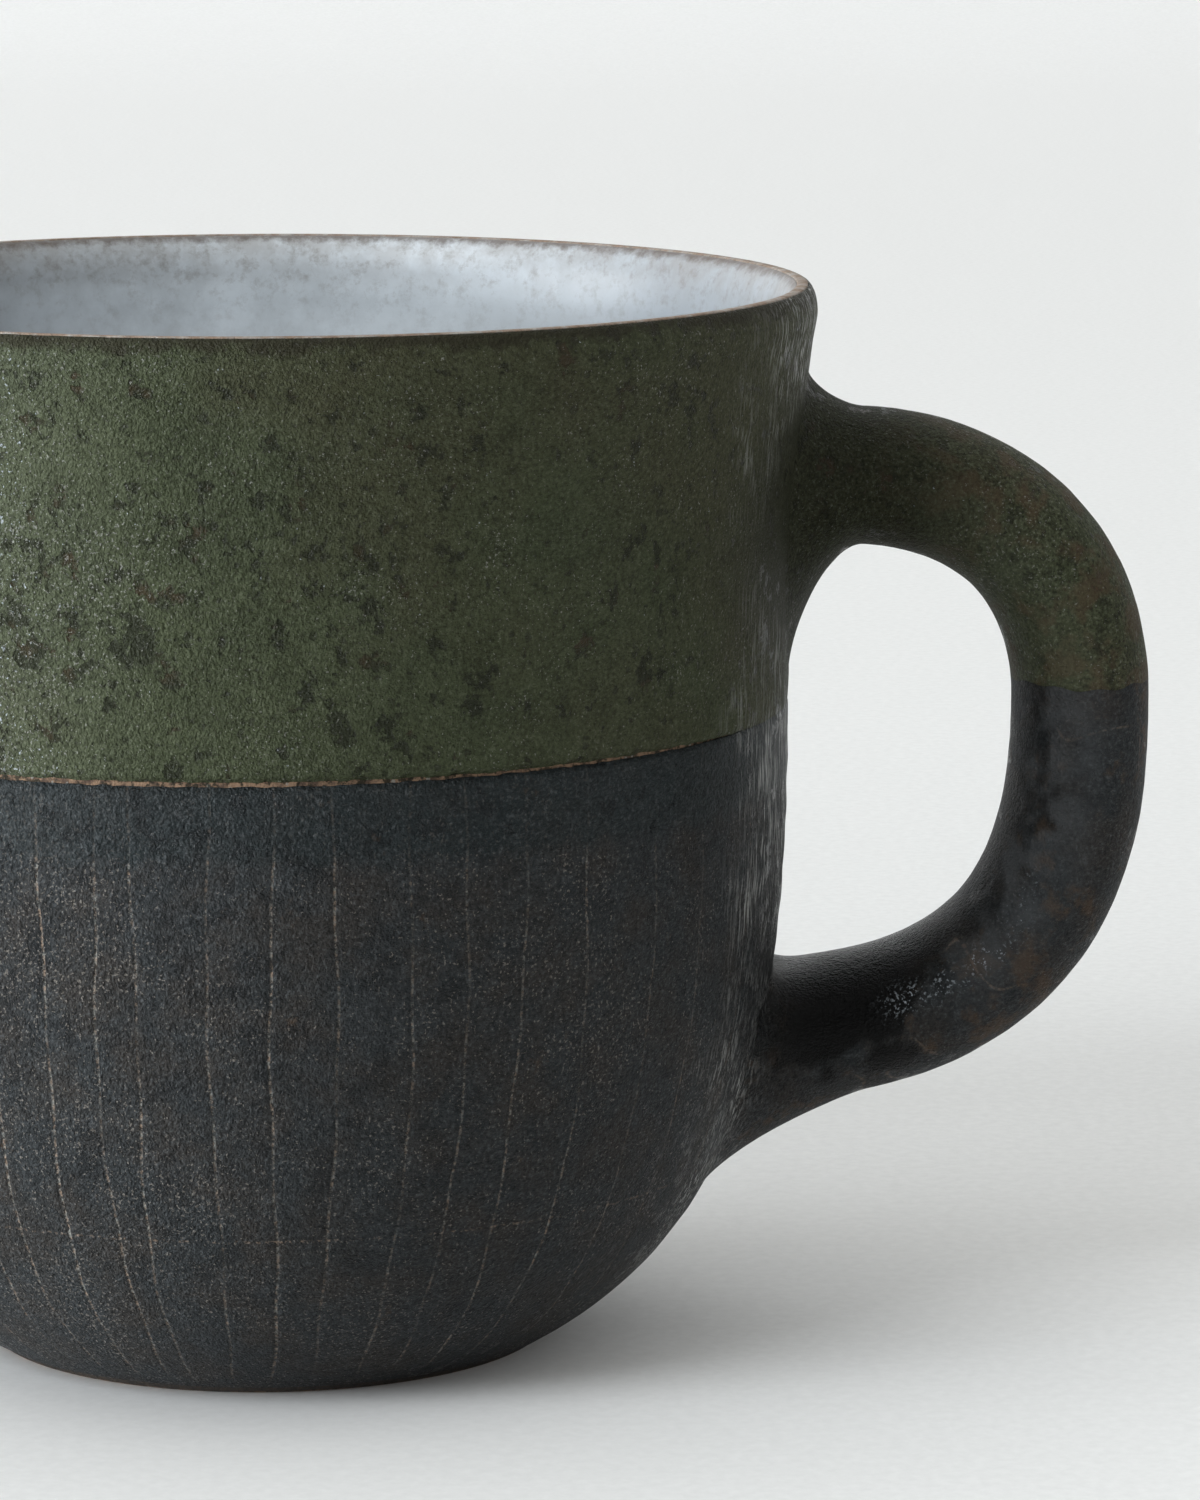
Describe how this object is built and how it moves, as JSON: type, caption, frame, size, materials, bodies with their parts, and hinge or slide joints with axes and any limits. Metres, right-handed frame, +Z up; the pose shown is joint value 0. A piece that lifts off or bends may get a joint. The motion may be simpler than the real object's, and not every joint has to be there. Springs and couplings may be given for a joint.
{
  "type": "ceramic mug",
  "caption": "Hand-thrown stoneware mug with a rounded bowl, a slightly flared rim and a thick pulled loop handle, glazed green above and slipped black below.",
  "frame": {"origin": "centre of the foot ring on the table, on the mug's axis", "axes": "+Z up along the mug's axis, +X from the axis towards the handle, +Y to the left of the handle seen from above"},
  "size_m": [0.1211, 0.0924, 0.0892],
  "materials": {
    "stoneware_clay": "matte",
    "pale_liner_glaze": "satin",
    "green_matte_glaze": "matte",
    "black_matte_slip": "matte"
  },
  "bodies": {
    "root": {"thrown_body": "stoneware_clay", "handle": "stoneware_clay", "upper_join_coil": "stoneware_clay", "lower_join_coil": "stoneware_clay", "liner_glaze": "pale_liner_glaze", "green_glaze": "green_matte_glaze", "black_slip": "black_matte_slip", "handle_green_glaze": "green_matte_glaze", "handle_black_slip": "black_matte_slip"}
  },
  "joints": []
}
